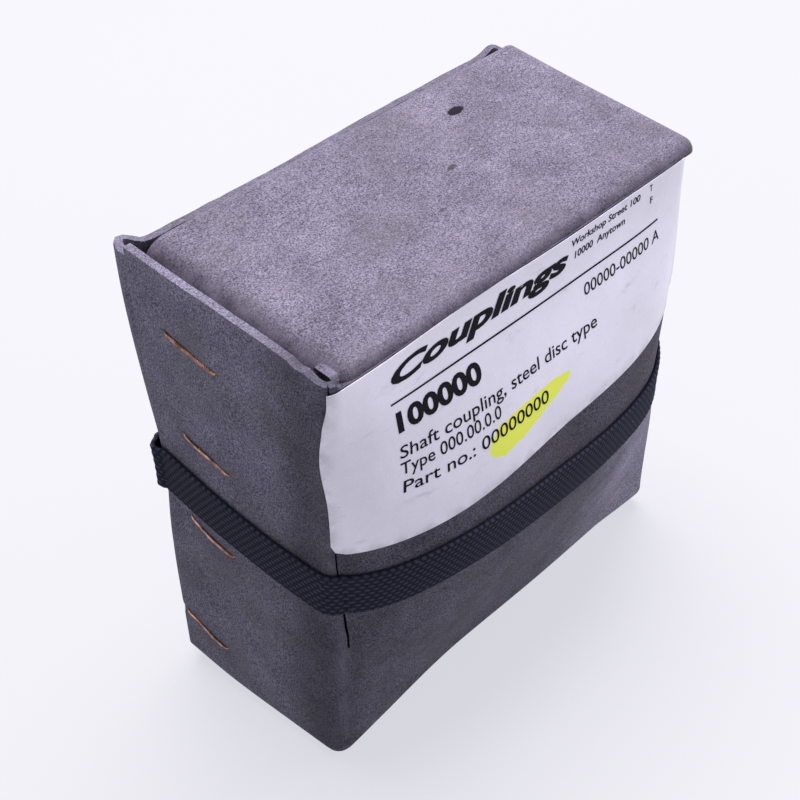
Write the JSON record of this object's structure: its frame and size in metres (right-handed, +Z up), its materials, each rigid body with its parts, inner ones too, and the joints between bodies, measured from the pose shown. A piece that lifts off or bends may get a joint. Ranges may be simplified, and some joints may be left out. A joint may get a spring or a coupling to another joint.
{
  "type": "packed disc coupling",
  "caption": "Backlash-free double steel-disc shaft coupling with clamping hubs, lying in a foam cradle inside a wire-stitched board carton held shut by an elastic strap.",
  "frame": {"origin": "centre of the carton's base face", "axes": "+X along the carton, away from the stitched end and along the coupling's axis; +Y towards the back, away from the label; +Z up"},
  "size_m": [0.1143, 0.0649, 0.11],
  "materials": {
    "greyboard": "matt pressed paperboard",
    "copper_wire": "flat copper-coated wire",
    "label_paper": "matt paper",
    "packing_foam": "cut foam",
    "woven_elastic": "woven elastic tape",
    "anodised_aluminium": "turned, clear anodised",
    "spring_steel": "rolled",
    "blackened_steel": "blackened",
    "zinc_steel": "zinc plated"
  },
  "bodies": {
    "carton": {"carton_sleeve": "greyboard", "bottom_panel": "greyboard", "bottom_dust_flap_left": "greyboard", "bottom_dust_flap_right": "greyboard", "bottom_back_flap": "greyboard", "wire_stitches": "copper_wire", "address_label": "label_paper", "foam_cradle": "packing_foam", "front_packing_pad": "packing_foam"},
    "lid": {"lid_panel": "greyboard", "lid_ear_left": "greyboard", "lid_ear_right": "greyboard"},
    "tuck_flap": {"lid_tuck_flap": "greyboard"},
    "strap": {"elastic_strap": "woven_elastic", "strap_seam": "woven_elastic"},
    "coupling_centre": {"centre_sleeve": "anodised_aluminium", "sleeve_bolts_a": "blackened_steel", "sleeve_washers_a": "zinc_steel", "sleeve_bushes_a": "zinc_steel", "sleeve_bolts_b": "blackened_steel", "sleeve_washers_b": "zinc_steel", "sleeve_bushes_b": "zinc_steel"},
    "pack_a": {"disc_pack_a": "spring_steel"},
    "hub_a": {"hub_a": "anodised_aluminium", "hub_bolts_a": "blackened_steel", "hub_nuts_a": "zinc_steel", "hub_washers_a": "zinc_steel", "hub_bushes_a": "zinc_steel"},
    "screw_a": {"clamp_screw_a": "blackened_steel"},
    "pack_b": {"disc_pack_b": "spring_steel"},
    "hub_b": {"hub_b": "anodised_aluminium", "hub_bolts_b": "blackened_steel", "hub_nuts_b": "zinc_steel", "hub_washers_b": "zinc_steel", "hub_bushes_b": "zinc_steel"},
    "screw_b": {"clamp_screw_b": "blackened_steel"}
  },
  "joints": [
    {"name": "lid_hinge", "type": "hinge", "parent": "carton", "child": "lid", "pos_m": [0, -0.0251, 0.1087], "axis": [1, 0, 0], "range_deg": [0, 180]},
    {"name": "tuck_fold", "type": "hinge", "parent": "lid", "child": "tuck_flap", "pos_m": [0, 0.0229, 0.1072], "axis": [1, 0, 0], "range_deg": [0, 27]},
    {"name": "strap_slide", "type": "slide", "parent": "carton", "child": "strap", "axis": [0, 0, 1], "range_m": [-0.045, 0.009]},
    {"name": "coupling_lift", "type": "slide", "parent": "carton", "child": "coupling_centre", "axis": [0, 0, 1], "range_m": [0, 0.11]},
    {"name": "pack_a_bend", "type": "hinge", "parent": "coupling_centre", "child": "pack_a", "pos_m": [-0.0105, 0, 0.054], "axis": [0, 1, 0], "range_deg": [-1, 1], "stiffness_Nm_per_rad": 3, "deforming": ["disc_pack_a"]},
    {"name": "hub_a_bend", "type": "hinge", "parent": "pack_a", "child": "hub_a", "pos_m": [-0.0105, 0, 0.054], "axis": [0, 0, 1], "range_deg": [-1, 1], "stiffness_Nm_per_rad": 3, "deforming": ["disc_pack_a"]},
    {"name": "clamp_screw_a_turn", "type": "hinge", "parent": "hub_a", "child": "screw_a", "pos_m": [-0.034, 0, 0.0652], "axis": [0, 1, 0], "continuous": true},
    {"name": "pack_b_bend", "type": "hinge", "parent": "coupling_centre", "child": "pack_b", "pos_m": [0.0105, 0, 0.054], "axis": [0, 1, 0], "range_deg": [-1, 1], "stiffness_Nm_per_rad": 3, "deforming": ["disc_pack_b"]},
    {"name": "hub_b_bend", "type": "hinge", "parent": "pack_b", "child": "hub_b", "pos_m": [0.0105, 0, 0.054], "axis": [0, 0, 1], "range_deg": [-1, 1], "stiffness_Nm_per_rad": 3, "deforming": ["disc_pack_b"]},
    {"name": "clamp_screw_b_turn", "type": "hinge", "parent": "hub_b", "child": "screw_b", "pos_m": [0.034, 0, 0.0652], "axis": [0, 1, 0], "continuous": true}
  ],
  "couplings": [
    {"joint": "tuck_fold", "follows": "lid_hinge", "ratio": 0.15},
    {"joint": "coupling_lift", "follows": "lid_hinge", "m_per_rad": 0.035}
  ]
}
